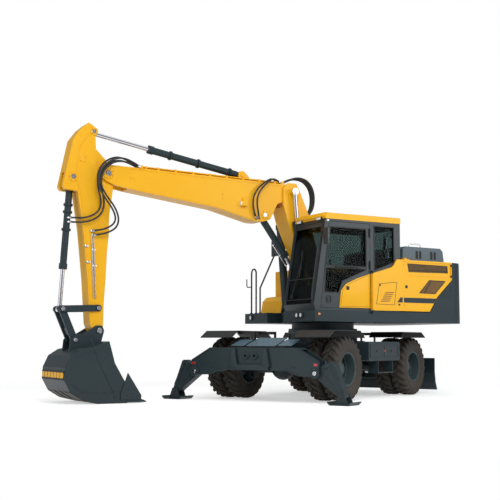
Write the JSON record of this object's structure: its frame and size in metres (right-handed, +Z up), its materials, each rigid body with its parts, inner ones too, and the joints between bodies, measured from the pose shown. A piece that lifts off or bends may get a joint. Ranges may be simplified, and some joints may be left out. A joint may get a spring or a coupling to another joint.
{
  "type": "wheeled excavator",
  "caption": "Wheeled excavator with a two-piece boom, arm and bucket, a cab on the turning superstructure, outriggers and a rear blade.",
  "frame": {"origin": "middle of the bounding box, on the ground", "axes": "+X along the chassis towards the outriggers, +Y to the side where the cab stands, +Z up"},
  "size_m": [7.1605, 4.9187, 4.4653],
  "materials": {
    "yellow_paint": "semi-gloss",
    "blue_grey_paint": "satin",
    "black_paint": "satin",
    "cast_grey": "matt",
    "chrome": "polished",
    "tyre_rubber": "matt",
    "seat_fabric": "woven",
    "glass": "clear"
  },
  "bodies": {
    "chassis": {"chassis_frame": "blue_grey_paint", "outrigger_beam": "blue_grey_paint", "front_axle": "blue_grey_paint", "rear_axle": "blue_grey_paint", "fenders": "black_paint", "side_boxes": "blue_grey_paint"},
    "upper": {"upper_frame": "blue_grey_paint", "cab_shell": "blue_grey_paint", "cab_glass": "glass", "cab_roof": "yellow_paint", "seat": "seat_fabric", "cab_controls": "black_paint", "engine_block": "cast_grey", "counterweight": "blue_grey_paint", "body_frame": "yellow_paint", "side_tanks": "yellow_paint", "exhaust": "chrome", "handrails": "black_paint"},
    "cab_door": {"cab_door": "blue_grey_paint", "door_glass": "glass"},
    "door_left_rear": {"door_left_rear": "yellow_paint"},
    "door_right": {"door_right": "yellow_paint"},
    "door_left_front": {"door_left_front": "yellow_paint"},
    "hood": {"hood": "yellow_paint"},
    "lower_boom": {"lower_boom": "yellow_paint"},
    "upper_boom": {"upper_boom": "yellow_paint"},
    "arm": {"arm": "yellow_paint"},
    "bucket": {"bucket": "blue_grey_paint"},
    "rockers": {"rockers": "blue_grey_paint"},
    "link": {"link": "blue_grey_paint"},
    "lift_barrels": {"lift_barrels": "blue_grey_paint"},
    "lift_rods": {"lift_rods": "chrome"},
    "adjust_barrel": {"adjust_barrel": "blue_grey_paint"},
    "adjust_rod": {"adjust_rod": "chrome"},
    "arm_barrel": {"arm_barrel": "blue_grey_paint"},
    "arm_rod": {"arm_rod": "chrome"},
    "bucket_barrel": {"bucket_barrel": "blue_grey_paint"},
    "bucket_rod": {"bucket_rod": "chrome"},
    "blade": {"blade": "blue_grey_paint"},
    "blade_barrels": {"blade_barrels": "blue_grey_paint"},
    "blade_rods": {"blade_rods": "chrome"},
    "leg_left": {"leg_left": "blue_grey_paint"},
    "leg_right": {"leg_right": "blue_grey_paint"},
    "pad_left": {"pad_left": "blue_grey_paint"},
    "pad_right": {"pad_right": "blue_grey_paint"},
    "knuckle_left": {"knuckle_left": "blue_grey_paint"},
    "knuckle_right": {"knuckle_right": "blue_grey_paint"},
    "wheel_front_left": {"tyres_front_left": "tyre_rubber", "rims_front_left": "blue_grey_paint"},
    "wheel_front_right": {"tyres_front_right": "tyre_rubber", "rims_front_right": "blue_grey_paint"},
    "wheel_rear_left": {"tyres_rear_left": "tyre_rubber", "rims_rear_left": "blue_grey_paint"},
    "wheel_rear_right": {"tyres_rear_right": "tyre_rubber", "rims_rear_right": "blue_grey_paint"}
  },
  "joints": [
    {"name": "slew", "type": "hinge", "parent": "chassis", "child": "upper", "pos_m": [-1.059, 0.397, 1.2], "axis": [0, 0, 1], "continuous": true},
    {"name": "lower_boom_joint", "type": "hinge", "parent": "upper", "child": "lower_boom", "pos_m": [-1.03356, 0.27149, 1.75], "axis": [0.4571, 0.8894, 0], "range_deg": [-5, 45]},
    {"name": "upper_boom_joint", "type": "hinge", "parent": "lower_boom", "child": "upper_boom", "pos_m": [-0.47234, -0.01694, 3.63], "axis": [-0.4571, -0.8894, 0], "range_deg": [-2, 50]},
    {"name": "arm_joint", "type": "hinge", "parent": "upper_boom", "child": "arm", "pos_m": [2.6175, -1.6049, 3.67], "axis": [-0.4571, -0.8894, 0], "range_deg": [-12, 80]},
    {"name": "bucket_joint", "type": "hinge", "parent": "arm", "child": "bucket", "pos_m": [2.71711, -1.65609, 1.13], "axis": [-0.4571, -0.8894, 0], "range_deg": [-62, 60]},
    {"name": "lift_barrel_hinge", "type": "hinge", "parent": "upper", "child": "lift_barrels", "pos_m": [-0.49187, 0.31916, 1.58], "axis": [0.4571, 0.8894, 0], "range_deg": [-6.06, 46.54]},
    {"name": "lift_rod_slide", "type": "slide", "parent": "lift_barrels", "child": "lift_rods", "axis": [0.0739, -0.038, 0.9965], "range_m": [-0.38542, 0.05171]},
    {"name": "adjust_barrel_hinge", "type": "hinge", "parent": "upper_boom", "child": "adjust_barrel", "pos_m": [0.01329, -0.26651, 3.189], "axis": [-0.4571, -0.8894, 0], "range_deg": [-44.8, 2.75]},
    {"name": "adjust_rod_slide", "type": "slide", "parent": "adjust_barrel", "child": "adjust_rod", "axis": [-0.5376, 0.2763, -0.7966], "range_m": [-0.03302, 0.58552]},
    {"name": "arm_barrel_hinge", "type": "hinge", "parent": "upper_boom", "child": "arm_barrel", "pos_m": [0.37172, -0.45072, 3.875], "axis": [-0.4571, -0.8894, 0], "range_deg": [-1.79, 1.12]},
    {"name": "arm_rod_slide", "type": "slide", "parent": "arm_barrel", "child": "arm_rod", "axis": [0.8776, -0.451, 0.1626], "range_m": [-0.91897, 0.14635]},
    {"name": "rocker_hinge", "type": "hinge", "parent": "arm", "child": "rockers", "pos_m": [2.73223, -1.66386, 1.488], "axis": [-0.4571, -0.8894, 0], "range_deg": [-44.6, 43.2]},
    {"name": "link_hinge", "type": "hinge", "parent": "rockers", "child": "link", "pos_m": [3.25343, -1.93172, 1.467], "axis": [-0.4571, -0.8894, 0], "range_deg": [-29.03, 29.97]},
    {"name": "bucket_barrel_hinge", "type": "hinge", "parent": "arm", "child": "bucket_barrel", "pos_m": [3.13425, -1.87047, 3.568], "axis": [-0.4571, -0.8894, 0], "range_deg": [-2.36, 2.32]},
    {"name": "bucket_rod_slide", "type": "slide", "parent": "bucket_barrel", "child": "bucket_rod", "axis": [0.0566, -0.0291, -0.998], "range_m": [-0.4094, 0.42271]},
    {"name": "blade_joint", "type": "hinge", "parent": "chassis", "child": "blade", "pos_m": [-2.659, 0.397, 0.56], "axis": [0, 1, 0], "range_deg": [-8, 25]},
    {"name": "blade_barrel_hinge", "type": "hinge", "parent": "chassis", "child": "blade_barrels", "pos_m": [-2.834, 0.397, 0.9], "axis": [0, 1, 0], "range_deg": [-6.21, 17.3]},
    {"name": "blade_rod_slide", "type": "slide", "parent": "blade_barrels", "child": "blade_rods", "axis": [-0.4819, 0, -0.8762], "range_m": [-0.15674, 0.05696]},
    {"name": "leg_left_joint", "type": "hinge", "parent": "chassis", "child": "leg_left", "pos_m": [1.151, 1.547, 0.475], "axis": [1, 0, 0], "range_deg": [0, 120]},
    {"name": "pad_left_joint", "type": "hinge", "parent": "leg_left", "child": "pad_left", "pos_m": [1.151, 1.987, 0.14], "axis": [1, 0, 0], "range_deg": [-25, 25]},
    {"name": "leg_right_joint", "type": "hinge", "parent": "chassis", "child": "leg_right", "pos_m": [1.151, -0.753, 0.475], "axis": [-1, 0, 0], "range_deg": [0, 120]},
    {"name": "pad_right_joint", "type": "hinge", "parent": "leg_right", "child": "pad_right", "pos_m": [1.151, -1.193, 0.14], "axis": [-1, 0, 0], "range_deg": [-25, 25]},
    {"name": "steer_left", "type": "hinge", "parent": "chassis", "child": "knuckle_left", "pos_m": [0.314, 1.057, 0.525], "axis": [0, 0, 1], "range_deg": [-25, 25]},
    {"name": "steer_right", "type": "hinge", "parent": "chassis", "child": "knuckle_right", "pos_m": [0.314, -0.263, 0.525], "axis": [0, 0, 1], "range_deg": [-26, 26]},
    {"name": "wheel_front_left_spin", "type": "hinge", "parent": "knuckle_left", "child": "wheel_front_left", "pos_m": [0.314, 1.333, 0.525], "axis": [0, 1, 0], "continuous": true},
    {"name": "wheel_front_right_spin", "type": "hinge", "parent": "knuckle_right", "child": "wheel_front_right", "pos_m": [0.314, -0.539, 0.525], "axis": [0, 1, 0], "continuous": true},
    {"name": "wheel_rear_left_spin", "type": "hinge", "parent": "chassis", "child": "wheel_rear_left", "pos_m": [-2.283, 1.333, 0.525], "axis": [0, 1, 0], "continuous": true},
    {"name": "wheel_rear_right_spin", "type": "hinge", "parent": "chassis", "child": "wheel_rear_right", "pos_m": [-2.283, -0.539, 0.525], "axis": [0, 1, 0], "continuous": true},
    {"name": "cab_door_hinge", "type": "hinge", "parent": "upper", "child": "cab_door", "pos_m": [-0.60308, 1.58384, 2.3], "axis": [0, 0, -1], "range_deg": [-90, 0]},
    {"name": "door_left_front_hinge", "type": "hinge", "parent": "upper", "child": "door_left_front", "pos_m": [-0.61422, 1.6278, 1.818], "axis": [0, 0, -1], "range_deg": [0, 90]},
    {"name": "door_left_rear_hinge", "type": "hinge", "parent": "upper", "child": "door_left_rear", "pos_m": [-2.21206, 2.4085, 2.24], "axis": [0, 0, 1], "range_deg": [0, 90]},
    {"name": "door_right_hinge", "type": "hinge", "parent": "upper", "child": "door_right", "pos_m": [-3.36577, 0.16361, 2.24], "axis": [0, 0, -1], "range_deg": [0, 90]},
    {"name": "hood_hinge", "type": "hinge", "parent": "upper", "child": "hood", "pos_m": [-2.92322, 1.35508, 2.42], "axis": [-0.4571, -0.8894, 0], "range_deg": [0, 60]}
  ],
  "couplings": [
    {"joint": "lift_barrel_hinge", "follows": "lower_boom_joint", "ratio": 1.0121},
    {"joint": "lift_rod_slide", "follows": "lower_boom_joint", "m_per_rad": -0.478},
    {"joint": "adjust_barrel_hinge", "follows": "upper_boom_joint", "ratio": -0.8759},
    {"joint": "adjust_rod_slide", "follows": "upper_boom_joint", "m_per_rad": 0.6595},
    {"joint": "arm_barrel_hinge", "follows": "arm_joint", "ratio": -0.0099},
    {"joint": "arm_rod_slide", "follows": "arm_joint", "m_per_rad": -0.651},
    {"joint": "rocker_hinge", "follows": "bucket_joint", "ratio": 0.7033},
    {"joint": "link_hinge", "follows": "bucket_joint", "ratio": -0.4672},
    {"joint": "bucket_barrel_hinge", "follows": "bucket_joint", "ratio": 0.022},
    {"joint": "bucket_rod_slide", "follows": "bucket_joint", "m_per_rad": -0.3814},
    {"joint": "blade_barrel_hinge", "follows": "blade_joint", "ratio": 0.65188},
    {"joint": "blade_rod_slide", "follows": "blade_joint", "m_per_rad": -0.33629},
    {"joint": "steer_right", "follows": "steer_left", "ratio": 1}
  ]
}
